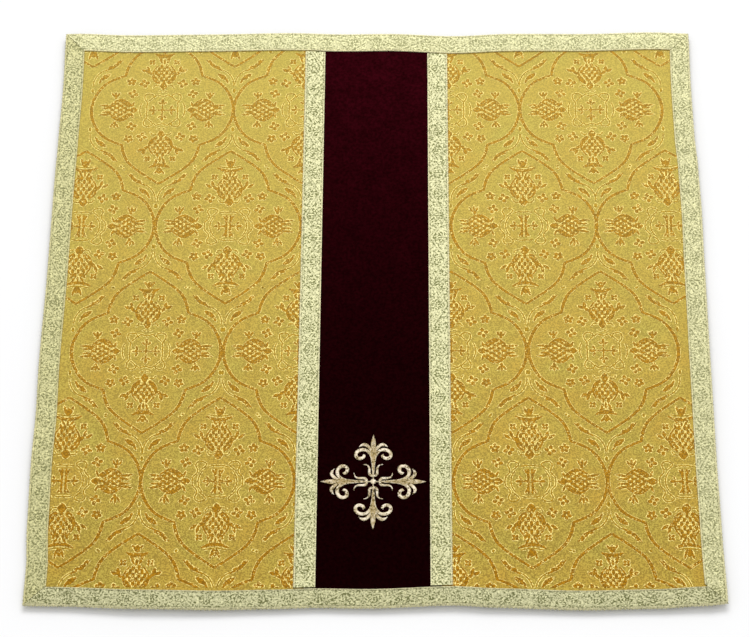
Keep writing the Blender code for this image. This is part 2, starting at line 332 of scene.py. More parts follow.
# Loose threads along the braid's outer edge and the stitches that sew it down, millimetres
TUFT_PITCH = 1.3
TUFT_PLACE = 0.4
TUFT_LENGTH = 1.5
TUFT_WIDTH = 0.45
TUFT_UNEVENNESS = 0.3
TUFT_LEAN = 30
TUFT_WAVES = (2.4, 1.7)
TUFT_BASE = 0.2
TUFT_HEIGHT = 0.35
STITCH_PLACE = 1.75
STITCH_PITCH = 3.3
STITCH_LENGTH = 2.5
STITCH_WIDTH = 0.5
STITCH_BASE = 0.5
STITCH_HEIGHT = 0.28

# One arm of the cross, upright above its middle: to the right, up, half width
STEM = (
    (0.0, 5.0, 0.4), (0.0, 10.0, 0.9), (0.0, 15.0, 1.3), (0.0, 20.0, 2.0), (0.0, 23.5, 2.9),
    (0.0, 26.8, 2.6), (0.0, 29.5, 1.2),
)
CENTRE_LEAF = ((0.0, 25.5, 0.6), (0.0, 29.5, 1.7), (0.0, 33.0, 2.0), (0.0, 36.8, 1.2), (0.0, 40.3, 0.2))
SIDE_LEAF = (
    (0.8, 25.5, 0.9), (2.6, 28.6, 1.2), (4.9, 31.2, 1.4), (7.2, 32.2, 1.3), (9.3, 31.6, 0.8),
    (10.9, 30.2, 0.2),
)
SCROLL = (
    (1.2, 21.0, 1.0), (2.9, 24.6, 1.2), (5.2, 27.0, 1.3), (8.3, 27.7, 1.4), (11.4, 26.8, 1.5),
    (13.3, 24.6, 1.4), (13.4, 22.0, 1.4), (11.8, 20.4, 1.4), (9.5, 20.2, 1.4), (7.6, 21.3, 1.3),
    (6.9, 23.0, 1.1),
)
WHISKER = (
    (-0.6, 4.8, 0.8), (1.4, 5.2, 1.0), (2.8, 6.6, 1.1), (3.0, 9.0, 1.0), (3.0, 11.4, 0.8),
    (3.9, 13.4, 0.6), (5.5, 14.5, 0.4), (7.3, 14.8, 0.2),
)
LINK = ((0.0, 1.6, 0.4), (0.0, 5.4, 0.4))
BEAD_RADIUS = 2.1
BEAD_STEPS = 8
BEAD_TIP = 0.25
BEAD_LIFT = 0.15
STEM_LIFT = 0.1
PALER_TINT = -0.1
CROSS_DRAWN_SHARE = 0.985
CROSS_SHIFT = 0.0008
THREAD_PITCH = 0.42
THREAD_HALF_WIDTH = 0.24
THREAD_SLANT = 24
THREAD_RISE = 0.55
THREAD_RIDGE = 0.2
THREAD_END_RISE = 0.3
THREAD_END_WIDTH = 0.6
THREAD_OVERLAP = 0.08
SHORTEST_STITCH = 0.35
PADDING_STEP = 1.2
PADDING_INSET = 0.15
PADDING_HEIGHT = 0.35

# How much stitches differ from each other in length and tint, and how their tint follows the way they lie:
# a painted sheen, cream where a stitch faces the light and tan where it turns away
LENGTH_UNEVENNESS = 0.12
TINT_UNEVENNESS = 0.2
UNEVEN_WAVES = (12.9898, 78.233)
TINT_TURN = 0.5
TINT_FACING = 0.6

# The stem: long stitches in lanes between two outlines
FILL_PITCH = 0.45
FILL_STEP = 1.0
FILL_LENGTH = 2.1
FILL_HEIGHT = 0.12
FILL_TINT = 0.85
FILL_TINT_UNEVENNESS = 0.45
FILL_WAVES = (7.31, 3.7)
OUTLINE_INSET = 0.45
OUTLINE_HALF_WIDTH = 0.55

# Grid to which the cloth is cut, so that it follows the ridges
CLOTH_GRID = 0.006

# How near places are taken as one: in a cut, in a merged copy and at a solid's underside
CUT_TOLERANCE = 1e-7
MERGE_DISTANCE = 1e-6
UNDERSIDE_REACH = 1e-5

# The camera, worked out from the veil's square and its outline in the photo
CAMERA_AIM = Vector((-0.00023, -0.01214, 0.0016))
CAMERA_ELEVATION = 59.74
CAMERA_YAW = 1.196
CAMERA_ROLL = -1.078
CAMERA_DISTANCE = 2.138
CAMERA_LENS = 130.8
CAMERA_SENSOR = 36.0

# The floor and the window light beyond the top edge
FLOOR_SIZE = 6.0
FLOOR_DROP = 0.0002
FLOOR_FADE = 0.35
FLOOR_FAR = (0.835, 0.835, 0.84)
FLOOR_NEAR = (0.945, 0.945, 0.95)
WINDOW_PLACE = Vector((0.1, 1.65, 1.95))
WINDOW_AIM = Vector((0.0, 0.05, 0.0))
WINDOW_WIDTH = 2.0
WINDOW_HEIGHT = 1.2


def srgb(red, green, blue):
    """A screen colour of 0 to 255 as the linear colour that Blender's sockets hold."""
    return tuple(
        value / 255 / 12.92 if value <= 10 else ((value / 255 + 0.055) / 1.055) ** 2.4
        for value in (red, green, blue)
    )


GROUND_GOLD = srgb(166, 142, 55)
GROUND_WARM = srgb(174, 140, 52)
GROUND_PALE = srgb(182, 165, 73)
# Painted sheen: the pale gold that the brocade's threads take towards the top edge
TOP_SHEEN = srgb(190, 178, 92)
FIGURE_ORANGE = srgb(152, 107, 2)
FIGURE_OLIVE = srgb(156, 120, 16)
PALE_GOLD = srgb(255, 236, 144)
VELVET_RED = srgb(17, 1, 2)
# Painted sheen: the lighter red of the pile towards the top edge
VELVET_SHEEN = srgb(46, 4, 11)
BRAID_PALE = srgb(217, 214, 166)
BRAID_OLIVE = srgb(104, 106, 52)
BRAID_EDGE = srgb(230, 224, 176)
THREAD_CREAM = srgb(255, 244, 222)
THREAD_TAN = srgb(172, 146, 70)

# Share of the painted sheen, a paler gold where the threads catch the light, in the brocade's colours at the
# top edge
TOP_SHEEN_SHARE = 0.4
FIGURE_TOP_SHEEN_SHARE = 0.17

# How each strip of the galloon differs: how bright, which is painted light and shade (the top strip lit,
# the bottom and left ones shaded), how much paler its bed, how yellow, how far its outer edge frays
# in millimetres, and the share of its width
BraidLook = namedtuple("BraidLook", "brightness softness warmth fray width")
BRAID_LOOKS = {
    "border_top": BraidLook(1.06, 0.28, 0.1, 0.2, 0.965),
    "border_bottom": BraidLook(0.76, 0.0, 0.1, 1.2, 0.96),
    "border_left": BraidLook(0.83, 0.15, 0.7, 0.4, 0.955),
    "border_right": BraidLook(0.93, 0.2, 0.2, 0.4, 0.96),
    "column_left": BraidLook(1.0, 0.0, 0.0, 0.1, 1.0),
    "column_right": BraidLook(1.0, 0.0, 0.0, 0.1, 1.0),
}
BRAID_YELLOW = (1.0, 0.97, 0.78)
FRAY_WAVES = (2900.0, 830.0)


def colour_property(label, description, default):
    """A colour that the user can change."""
    return bpy.props.FloatVectorProperty(
        name=label, description=description, default=default, subtype="COLOR", size=3, min=0.0, max=1.0,
    )


def length_property(label, description, default):
    """A length in metres that the user can change."""
    return bpy.props.FloatProperty(
        name=label, description=description, default=default, unit="LENGTH", min=0.0, precision=5,
    )


class VeilSizes(bpy.types.PropertyGroup):
    """Sizes of the weave, the stitches and the way the cloth lies."""

    figure_height: length_property(
        "Figure height", "How far the woven figure stands over the ground", CORE_HEIGHT)
    rim_width: length_property(
        "Edge thread width", "Width of the pale thread round each woven shape", FIGURE_RIM)
    thread_pitch: length_property(
        "Satin stitch pitch", "Distance from one satin stitch to the next", THREAD_PITCH * MM)
    ridge_share: bpy.props.FloatProperty(
        name="Unevenness", description="Share of the height of the soft ridges in which the veil lies",
        default=1.0, min=0.0, max=2.0, subtype="FACTOR",
    )


class VeilColours(bpy.types.PropertyGroup):
    """Colours of the threads."""

    ground: colour_property("Brocade ground", "Gold of the ground weave", GROUND_GOLD)
    ground_warm: colour_property("Warm ground", "Gold of the warmer patches of the ground", GROUND_WARM)
    ground_pale: colour_property("Pale ground", "Gold of the brighter threads of the ground", GROUND_PALE)
    # Painted sheen: the pale gold that the threads take towards the top edge
    top_sheen: colour_property("Light on the top", "Pale gold that the threads take towards the top", TOP_SHEEN)
    orange: colour_property("Figure thread", "Orange thread of the woven figure", FIGURE_ORANGE)
    olive: colour_property("Fine line thread", "Olive thread of the finest lines", FIGURE_OLIVE)
    pale: colour_property("Edge thread", "Pale metal thread round the woven figure", PALE_GOLD)
    velvet: colour_property("Velvet", "Dark red of the pile", VELVET_RED)
    # Painted sheen: the lighter red that the pile takes towards the top edge, in patches
    shine: colour_property("Velvet nap", "Red of the pile where it is brushed up", VELVET_SHEEN)
    braid: colour_property("Galloon", "Pale metal thread of the galloon", BRAID_PALE)
    braid_bed: colour_property("Galloon bed", "Olive thread under the galloon's figure", BRAID_OLIVE)
    braid_edge: colour_property("Galloon edge", "Bright cord along both edges of the galloon", BRAID_EDGE)
    # Cream and tan carry a painted sheen as well as the thread's own colour: the tint follows the way each
    # stitch lies
    cream: colour_property("Embroidery, light", "Cream side of the satin stitch", THREAD_CREAM)
    tan: colour_property("Embroidery, deep", "Tan side of the satin stitch", THREAD_TAN)


class VeilStudio(bpy.types.PropertyGroup):
    """Light of the studio."""

    dome: bpy.props.FloatProperty(
        name="Dome light", description="Strength of the even light from all sides", default=0.75, min=0.0)
    key: bpy.props.FloatProperty(
        name="Window light", description="Power of the large light beyond the top edge", default=37.5,
        min=0.0, unit="POWER")


def add_node(tree, kind, settings=None, **inputs):
    """A new node with its settings and the values of its input sockets."""
    node = tree.nodes.new(kind)
    for name, value in (settings or {}).items():
        setattr(node, name, value)
    for name, value in inputs.items():
        socket = node.inputs[name.replace("_", " ")]
        if isinstance(value, bpy.types.NodeSocket):
            tree.links.new(value, socket)
        else:
            socket.default_value = value
    return node


def maths(tree, operation, first, second=0.0):
    """A math node's result."""
    node = add_node(tree, "ShaderNodeMath", {"operation": operation})
    for socket, value in zip(node.inputs, (first, second)):
        if isinstance(value, bpy.types.NodeSocket):
            tree.links.new(value, socket)
        else:
            socket.default_value = value
    return node.outputs[0]


def mixed(tree, share, first, second, blend="MIX"):
    """A mix of two colours by a share."""
    node = add_node(tree, "ShaderNodeMix", {"data_type": "RGBA", "blend_type": blend})
    for index, value in ((0, share), (6, first), (7, second)):
        socket = node.inputs[index]
        if isinstance(value, bpy.types.NodeSocket):
            tree.links.new(value, socket)
        else:
            socket.default_value = (*value, 1.0) if index else value
    return node.outputs[2]


def new_group(name, inputs, output):
    """An empty shader node group with named inputs and one output, and its two end nodes."""
    tree = bpy.data.node_groups.new(name, "ShaderNodeTree")
    for label, value in inputs.items():
        socket = tree.interface.new_socket(label, in_out="INPUT", socket_type="NodeSocketFloat")
        socket.default_value = value
    tree.interface.new_socket(output, in_out="OUTPUT", socket_type="NodeSocketFloat")
    return tree, tree.nodes.new("NodeGroupInput"), tree.nodes.new("NodeGroupOutput")


def thread_wave(tree, place, pitch):
    """A sine across threads of a pitch."""
    turns = maths(tree, "DIVIDE", maths(tree, "MULTIPLY", place, 2 * pi), pitch)
    return maths(tree, "SINE", turns)


def make_weave_group():
    """Threads over and under each other, as a height from 0 to 1."""
    tree, start, end = new_group("woven_threads", {"Weft Pitch": 0.0004, "Warp Pitch": 0.0004}, "Height")
    place = add_node(tree, "ShaderNodeTexCoord").outputs["Object"]
    axes = add_node(tree, "ShaderNodeSeparateXYZ", Vector=place)
    weft = thread_wave(tree, axes.outputs["Y"], start.outputs["Weft Pitch"])
    warp = thread_wave(tree, axes.outputs["X"], start.outputs["Warp Pitch"])
    cross = maths(tree, "MULTIPLY", weft, warp)
    total = maths(tree, "ADD", maths(tree, "MULTIPLY", cross, 0.3), maths(tree, "MULTIPLY", weft, 0.2))
    tree.links.new(maths(tree, "ADD", total, 0.5), end.inputs["Height"])
    return tree


def make_glint_group():
    """Specks of thread that catch the light: 1 on a speck and 0 beside it."""
    tree, start, end = new_group("thread_glints", {"Grain": 0.001, "Edge": 0.5, "Softness": 0.08}, "Mask")
    place = add_node(tree, "ShaderNodeTexCoord").outputs["Object"]
    scale = maths(tree, "DIVIDE", 1.0, start.outputs["Grain"])
    cloud = add_node(tree, "ShaderNodeTexNoise", Vector=place, Scale=scale, Detail=2.0, Roughness=0.6)
    low = maths(tree, "SUBTRACT", start.outputs["Edge"], start.outputs["Softness"])
    high = maths(tree, "ADD", start.outputs["Edge"], start.outputs["Softness"])
    mask = add_node(tree, "ShaderNodeMapRange", Value=cloud.outputs[0], From_Min=low, From_Max=high)
    tree.links.new(mask.outputs[0], end.inputs["Mask"])
    return tree


def make_way_group():
    """How far a place is from one height on the veil to another along Y, from 0 to 1."""
    tree, start, end = new_group("way_along_veil", {"From": -HALF_SIDE, "To": HALF_SIDE}, "Share")
    place = add_node(tree, "ShaderNodeTexCoord").outputs["Object"]
    up = add_node(tree, "ShaderNodeSeparateXYZ", Vector=place).outputs["Y"]
    first, last = start.outputs["From"], start.outputs["To"]
    share = add_node(tree, "ShaderNodeMapRange", Value=up, From_Min=first, From_Max=last)
    tree.links.new(share.outputs[0], end.inputs["Share"])
    return tree


def group_value(tree, group, **inputs):
    """The output of a group placed in a material with its own values."""
    node = add_node(tree, "ShaderNodeGroup", {"node_tree": group})
    for name, value in inputs.items():
        node.inputs[name.replace("_", " ")].default_value = value
    return node.outputs[0]


def new_material(name, roughness, metallic=0.0, sheen=0.0, specular=0.5):
    """A material with a Principled shader whose even values are set on its own sockets."""
    material = bpy.data.materials.new(name)
    material.use_nodes = True
    shader = material.node_tree.nodes["Principled BSDF"]
    shader.inputs["Roughness"].default_value = roughness
    shader.inputs["Metallic"].default_value = metallic
    shader.inputs["Specular IOR Level"].default_value = specular
    shader.inputs["Sheen Weight"].default_value = sheen
    shader.inputs["Sheen Roughness"].default_value = 0.4
    return material, material.node_tree, shader


def set_bump(tree, shader, height, distance, strength=0.6):
    """Feed a height through a bump node to the shader's normal."""
    bump = add_node(tree, "ShaderNodeBump", Height=height, Distance=distance, Strength=strength)
    tree.links.new(bump.outputs["Normal"], shader.inputs["Normal"])


def set_colour(tree, shader, colour):
    """Link a colour to the shader."""
    tree.links.new(colour, shader.inputs["Base Color"])


def shared_groups():
    """The weave, glint and way groups, made once."""
    groups = bpy.data.node_groups
    weave = groups.get("woven_threads") or make_weave_group()
    glint = groups.get("thread_glints") or make_glint_group()
    way = groups.get("way_along_veil") or make_way_group()
    return weave, glint, way


def darker(colour, share):
    """A share of a colour."""
    return tuple(value * share for value in colour)


def painted_sheen_to_top(tree, way, colour, colours, most=TOP_SHEEN_SHARE):
    """A brocade colour with painted sheen: paler towards the top edge, where the threads catch the light."""
    share = maths(tree, "MULTIPLY", group_value(tree, way, From=-HALF_SIDE, To=HALF_SIDE), most)
    return mixed(tree, share, colour, colours.top_sheen)


def ground_material(colours):
    """The brocade's ground: a close gold satin weave, slightly mottled."""
    weave, glint, way = shared_groups()
    material, tree, shader = new_material("brocade_ground", 0.5, METAL_SHARE, specular=0.1)
    patches = group_value(tree, glint, Grain=0.045, Edge=0.5, Softness=0.24)
    threads = group_value(tree, glint, Grain=0.0011, Edge=0.5, Softness=0.05)
    dark = mixed(tree, patches, darker(colours.ground, 0.73), darker(colours.ground_warm, 0.75))
    pale = mixed(tree, patches, colours.ground_pale, darker(colours.ground_warm, 1.22))
    set_colour(tree, shader, painted_sheen_to_top(tree, way, mixed(tree, threads, dark, pale), colours))
    set_bump(tree, shader, group_value(tree, weave, Weft_Pitch=0.00042, Warp_Pitch=0.00055), 0.00008)
    return material


def figure_material(name, colour, fleck, fleck_edge, colours):
    """A floating thread of the figure, dark and light along its floats, with flecks of another thread."""
    weave, glint, way = shared_groups()
    material, tree, shader = new_material(name, 0.5, METAL_SHARE, specular=0.1)
    floats = group_value(tree, glint, Grain=0.0014, Edge=0.5, Softness=0.06)
    flecks = group_value(tree, glint, Grain=0.0013, Edge=fleck_edge, Softness=0.03)
    thread = mixed(tree, floats, darker(colour, 0.7), darker(colour, 1.26))
    flecked = mixed(tree, flecks, thread, fleck)
    set_colour(tree, shader, painted_sheen_to_top(tree, way, flecked, colours, FIGURE_TOP_SHEEN_SHARE))
    set_bump(tree, shader, group_value(tree, weave, Weft_Pitch=0.00050, Warp_Pitch=0.0016), 0.00008)
    return material


def edge_material(colours):
    """The pale metal thread that edges the figure, bright in specks and lost in the ground between."""
    weave, glint, way = shared_groups()
    material, tree, shader = new_material("brocade_edge_thread", 0.45, METAL_SHARE, specular=0.3)
    specks = group_value(tree, glint, Grain=0.0015, Edge=0.48, Softness=0.03)
    between = mixed(tree, 0.35, colours.ground, colours.orange)
    set_colour(tree, shader, painted_sheen_to_top(tree, way, mixed(tree, specks, between, colours.pale), colours))
    set_bump(tree, shader, group_value(tree, weave, Weft_Pitch=0.0005, Warp_Pitch=0.0008), 0.0001)
    return material


def velvet_material(colours):
    """Cut pile with soft patches, and a painted sheen, lighter and redder towards the top edge."""
    _, glint, way = shared_groups()
    material, tree, shader = new_material("velvet_pile", 0.95, sheen=0.05, specular=0.0)
    shine = group_value(tree, glint, Grain=0.014, Edge=0.5, Softness=0.2)
    pile = group_value(tree, glint, Grain=0.0022, Edge=0.5, Softness=0.16)
    # Painted sheen, growing steeply towards the top edge and patchy
    steep = maths(tree, "POWER", group_value(tree, way, From=-HALF_SIDE, To=HALF_SIDE), 2.2)
    lit = maths(tree, "MULTIPLY", steep, maths(tree, "ADD", maths(tree, "MULTIPLY", shine, 0.5), 0.75))
    lying = mixed(tree, lit, darker(colours.velvet, 1.35), darker(colours.shine, 1.35))
    standing = mixed(tree, lit, darker(colours.velvet, 0.65), darker(colours.shine, 0.65))
    set_colour(tree, shader, mixed(tree, pile, lying, standing))
    shader.inputs["Sheen Tint"].default_value = (*srgb(120, 20, 40), 1.0)
    set_bump(tree, shader, pile, 0.0002, 0.4)
    return material


def attribute(tree, name):
    """A number that each piece holds at its vertices."""
    return add_node(tree, "ShaderNodeAttribute", {"attribute_name": name}).outputs["Fac"]


def braid_material(name, bed, pale, olive_edge):
    """Metal thread in close ribs: pale floats, painted glints in bright specks, the olive bed showing
    between.
    """
    weave, glint, _ = shared_groups()
    material, tree, shader = new_material(name, 0.42, METAL_SHARE, specular=0.3)
    floats = group_value(tree, glint, Grain=0.0016, Edge=olive_edge, Softness=0.05)
    # Painted glints: specks brighter than the pale thread itself
    bright = group_value(tree, glint, Grain=0.0013, Edge=0.57, Softness=0.05)
    dim = darker(pale, 0.86)
    soft_bed = mixed(tree, attribute(tree, "softness"), bed, dim)
    ground = mixed(tree, floats, soft_bed, dim)
    thread = mixed(tree, bright, ground, darker(pale, 1.16))
    yellowed = mixed(tree, attribute(tree, "warmth"), thread, BRAID_YELLOW, "MULTIPLY")
    # Each strip's painted light and shade lightens or darkens its whole colour
    set_colour(tree, shader, mixed(tree, 1.0, yellowed, attribute(tree, "brightness"), "MULTIPLY"))
    ribs = group_value(tree, weave, Weft_Pitch=0.0006, Warp_Pitch=0.0006)
    set_bump(tree, shader, maths(tree, "ADD", ribs, floats), 0.00012)
    return material


def edge_cord_material(colours):
    """The bright cord of the galloon's edges, which also wraps the cloth's cut edge."""
    name = "galloon_edge_cord"
    made = bpy.data.materials.get(name)
    return made or braid_material(name, darker(colours.braid, 0.5), colours.braid_edge, 0.44)


def satin_material(colours):
    """Satin stitch with painted sheen, cream facing the light and tan turned away, and specks of painted
    shade.
    """
    glint = shared_groups()[1]
    material, tree, shader = new_material("satin_stitch", 0.34, sheen=0.12)
    tint = attribute(tree, "tint")
    # Painted shade: dark specks in the gaps between stitches
    shade_specks = group_value(tree, glint, Grain=0.0015, Edge=0.57, Softness=0.04)
    thread = mixed(tree, tint, colours.cream, colours.tan)
    set_colour(tree, shader, mixed(tree, shade_specks, thread, darker(colours.tan, 0.5)))
    set_bump(tree, shader, group_value(tree, glint, Grain=0.0004, Edge=0.5, Softness=0.4), 0.00006)
    return material


def lift(x, y):
    """How high the soft ridges raise the veil at each place, for arrays of places."""
    total = np.zeros_like(x)
    for ridge in RIDGES:
        along = np.array((cos(radians(ridge.turn)), sin(radians(ridge.turn))))
        out_x = x - ridge.x
        out_y = y - ridge.y
        length = (out_x * -along[1] + out_y * along[0]) / ridge.length
        width = (out_x * along[0] + out_y * along[1]) / ridge.width
        total += ridge.height * np.exp(-(length ** 2) - width ** 2)
    from_edge = HALF_SIDE - np.maximum(np.abs(x), np.abs(y))
    way_down = np.clip((-y - HALF_SIDE / 3) / (HALF_SIDE * 2 / 3), 0.0, 1.0)
    edge = EDGE_LIFT * (1 - (1 - BOTTOM_EDGE_SHARE) * way_down)
    return total + edge * np.exp(-((from_edge / EDGE_REACH) ** 2))


def mesh_places(mesh):
    """The places of a mesh's vertices as an array of rows."""
    flat = np.empty(len(mesh.vertices) * 3, dtype=np.float32)
    mesh.vertices.foreach_get("co", flat)
    return flat.reshape(-1, 3).astype(float)


def finish_piece(name, bm, materials, replaced=(), look=None):
    """Make a piece of a bmesh, lay it on the ridges and give it its body, materials and look."""
    bmesh.ops.recalc_face_normals(bm, faces=bm.faces)
    mesh = bpy.data.meshes.new(name)
    bm.to_mesh(mesh)
    bm.free()
    places = mesh_places(mesh)
    places[:, 2] += lift(places[:, 0], places[:, 1]) * bpy.context.scene.veil_sizes.ridge_share
    mesh.vertices.foreach_set("co", places.astype(np.float32).ravel())
    mesh.update()
    for material in materials:
        mesh.materials.append(material)
    for label in ("brightness", "softness", "warmth") if look else ():
        values = mesh.attributes.new(label, "FLOAT", "POINT").data
        values.foreach_set("value", np.full(len(mesh.vertices), getattr(look, label), dtype=np.float32))
    piece = bpy.data.objects.new(name, mesh)
    bpy.context.scene.collection.objects.link(piece)
    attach(piece, "root")
    if replaced:
        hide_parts(*replaced)
    return piece


def stamp(bm, prototype, place):
    """Add a copy of a mesh to a bmesh, placed by a matrix, and give its vertices back."""
    first = len(bm.verts)
    bm.from_mesh(prototype)
    bm.verts.ensure_lookup_table()
    copied = bm.verts[first:]
    bmesh.ops.transform(bm, matrix=place, verts=copied)
    return copied


def as_mesh(name, bm):
    """Turn a bmesh into a mesh to be stamped."""
    mesh = bpy.data.meshes.new(name)
    bm.to_mesh(mesh)
    bm.free()
    return mesh


def smooth_course(points, step):
    """Rows at about equal steps on a smooth curve through a chart's rows."""
    rows = [Vector(point) for point in points]
    rows = [rows[0] * 2 - rows[1]] + rows + [rows[-1] * 2 - rows[-2]]
    course = []
    for before, start, end, after in zip(rows, rows[1:], rows[2:], rows[3:]):
        count = max(1, ceil((end - start).xy.length / step))
        for index in range(count):
            t = index / count
            course.append(0.5 * (
                2 * start + (end - before) * t
                + (2 * before - 5 * start + 4 * end - after) * t ** 2
                + (3 * start - before - 3 * end + after) * t ** 3
            ))
    return course + [rows[-2]]


def course_frame(course, index):
    """The direction of a course at a row and the direction to its left."""
    ahead = course[min(index + 1, len(course) - 1)]
    behind = course[max(index - 1, 0)]
    along = (ahead - behind).xy.normalized()
    return along, Vector((-along.y, along.x))


def flat_petal(petal, swell):
    """A pointed petal, rounder at its root, as a flat shape."""
    bm = bmesh.new()
    sides = 8 if petal.length > LONG_PETAL else 6
    level = Matrix.Rotation(pi / 2, 4, "Z")
    verts = bmesh.ops.create_circle(bm, cap_ends=True, segments=sides, radius=0.5, matrix=level)["verts"]
    for vert in verts:
        taper = 2 * abs(vert.co.y) if vert.co.x > -0.01 else 0.5 + abs(vert.co.y)
        vert.co.y *= taper
    size = Matrix.Diagonal((petal.length + 2 * swell, petal.width + 2 * swell, 1.0, 1.0))
    place = Matrix.Translation((petal.x, petal.y, 0.0)) @ Matrix.Rotation(radians(petal.turn), 4, "Z")
    bmesh.ops.transform(bm, matrix=place @ size, verts=verts)
    return bm


def flat_strip(course, swell):
    """A flat strip bent along a course, as wide as its rows say."""
    bm = bmesh.new()
    count = len(course) - 1
    verts = bmesh.ops.create_grid(bm, x_segments=count, y_segments=1, size=0.5)["verts"]
    for vert in verts:
        index = round((vert.co.x + 0.5) * count)
        side = 1 if vert.co.y > 0 else -1
        left = course_frame(course, index)[1]
        edge = course[index].xy + left * side * (course[index].z + swell)
        vert.co = (edge.x, edge.y, 0.0)
    return bm


def flat_shape(shape, swell, step=LINE_STEP):
    """A petal or a line as a flat shape, wider on every side by a swell."""
    if isinstance(shape, Petal):
        return flat_petal(shape, swell)
    return flat_strip(smooth_course(shape.points, step), swell)


def move_into(bm, small):
    """Move all of a small bmesh into a larger one."""
    scratch = as_mesh("scratch", small)
    bm.from_mesh(scratch)
    bpy.data.meshes.remove(scratch)


def raise_shapes(bm, shapes, base, height):
    """Turn flat shapes, each with its thread, into thin plates and move them into a bmesh."""
    layer = bmesh.new()
    for index, (flat, thread) in enumerate(shapes):
        for face in flat.faces:
            face.material_index = thread
        for vert in flat.verts:
            vert.co.z = base + index % STACK_COUNT * STACK_STEP
        move_into(layer, flat)
    raised = bmesh.ops.extrude_face_region(layer, geom=layer.faces[:], use_keep_orig=True)["geom"]
    upper = [item for item in raised if isinstance(item, bmesh.types.BMVert)]
    bmesh.ops.translate(layer, verts=upper, vec=(0.0, 0.0, height))
    move_into(bm, layer)


def mirrored_petals(petal):
    """The petal in all four quarters, once where it stands on an axis."""
    for side_x in (1, -1) if abs(petal.x) > 0.01 else (1,):
        for side_y in (1, -1) if abs(petal.y) > 0.01 else (1,):
            turn = petal.turn if side_x > 0 else 180 - petal.turn
            yield petal._replace(x=petal.x * side_x, y=petal.y * side_y, turn=turn * side_y)


def sides_of(values):
    """Both signs, or one where the values already reach over the axis or lie on it."""
    reaches_over = values[0] == -values[-1] and any(values)
    return (1,) if reaches_over or not any(values) else (1, -1)


def mirrored_lines(line):
    """The line in all four quarters, once where it already reaches over an axis."""
    for side_x in sides_of([point[0] for point in line.points]):
        for side_y in sides_of([point[1] for point in line.points]):
            yield Line(tuple((x * side_x, y * side_y, half) for x, y, half in line.points))


def mirrored_shapes(shape):
    """A petal or a line in all four quarters."""
    return mirrored_petals(shape) if isinstance(shape, Petal) else mirrored_lines(shape)


def swell_of(shape, group, edge):
    """How much wider a shape is woven than it is drawn, with an edge thread of a width."""
    if isinstance(shape, Petal):
        return PETAL_FULLNESS[group] + edge
    return LINE_FULLNESS[group] + edge * LINE_RIM_SHARE[group]


def medallion(chart, sizes):
    """One whole medallion of the figure: each shape a raised core on a wider, lower edge thread."""
    bm = bmesh.new()
    rim = sizes.rim_width / MM
    layers = (
        (rim, RIM_HEIGHT / MM, dict.fromkeys(chart, EDGE_THREAD)),
        (0.0, sizes.figure_height / MM, CORE_THREADS),
    )
    for edge, height, threads in layers:
        shapes = [
            (flat_shape(copy, swell_of(copy, group, edge)), threads[group])
            for group, drawn in chart.items() for shape in drawn for copy in mirrored_shapes(shape)
        ]
        raise_shapes(bm, shapes, -FIGURE_SINK / MM, height + FIGURE_SINK / MM)
    bmesh.ops.scale(bm, vec=(MM, MM, MM), verts=bm.verts)
    return as_mesh("medallion", bm)


def cut_away(bm, place, outward):
    """Cut off what lies beyond an upright plane and close the cut."""
    geometry = bm.verts[:] + bm.edges[:] + bm.faces[:]
    cut = bmesh.ops.bisect_plane(
        bm, geom=geometry, dist=CUT_TOLERANCE, plane_co=place, plane_no=outward, clear_outer=True,
    )["geom_cut"]
    rim = [item for item in cut if isinstance(item, bmesh.types.BMEdge)]
    bmesh.ops.holes_fill(bm, edges=rim, sides=0)


def panel_window(side):
    """The part of a brocade panel that shows, with a little more under the galloon: low, high corner."""
    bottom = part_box("galloon_border_bottom")[1].y - FIGURE_UNDERLAP
    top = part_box("galloon_border_top")[0].y + FIGURE_UNDERLAP
    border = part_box("galloon_border_" + side)
    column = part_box("galloon_column_" + side)
    before, after = (border, column) if side == "left" else (column, border)
    low = Vector((before[1].x - FIGURE_UNDERLAP, bottom))
    high = Vector((after[0].x + FIGURE_UNDERLAP, top))
    return low, high


def make_figure(side, medallions, threads):
    """The woven figure of one panel: its medallions, cut off under the galloon."""
    bm = bmesh.new()
    for row in FIGURE_ROWS[side]:
        for place in row.places:
            stamp(bm, medallions[row.chart], Matrix.Translation((place, row.height, CLOTH_TOP)))
    low, high = panel_window(side)
    for corner, outward in ((low, -1), (high, 1)):
        cut_away(bm, (corner.x, corner.y, 0.0), (outward, 0.0, 0.0))
        cut_away(bm, (corner.x, corner.y, 0.0), (0.0, outward, 0.0))
    return finish_piece("brocade_figure_" + side, bm, threads)


def cloth_blank(node):
    """A copy of a cloth's solid, cut to a grid so that it can follow the ridges."""
    bm = bmesh.new()
    bm.from_mesh(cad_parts[node].data)
    bmesh.ops.remove_doubles(bm, verts=bm.verts, dist=MERGE_DISTANCE)
    bmesh.ops.dissolve_limit(bm, angle_limit=radians(1), verts=bm.verts, edges=bm.edges)
    low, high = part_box(node)
    for axis in (0, 1):
        normal = Vector((0.0, 0.0, 0.0))
        normal[axis] = 1.0
        for index in range(1, ceil((high[axis] - low[axis]) / CLOTH_GRID)):
            place = low.copy()
            place[axis] += index * CLOTH_GRID
            geometry = bm.verts[:] + bm.edges[:] + bm.faces[:]
            bmesh.ops.bisect_plane(
                bm, geom=geometry, dist=CUT_TOLERANCE, plane_co=place, plane_no=normal,
            )
    return bm


def lay_cloth(name, node, slot, material, *sewn):
    """A cloth over its solid, with its hem in the galloon's cord; the named pieces are not used."""
    bm = cloth_blank(node)
    hem = HALF_SIDE - GALLOON_WIDTH / 2
    for face in bm.faces:
        middle = face.calc_center_median()
        face.material_index = 1 if max(abs(middle.x), abs(middle.y)) > hem else 0
    cord = edge_cord_material(bpy.context.scene.veil_colours)
    # The hem's cord takes the bottom strip's look, and with it that strip's painted shade
    cloth = finish_piece(name, bm, (material, cord), (node,), BRAID_LOOKS["border_bottom"])


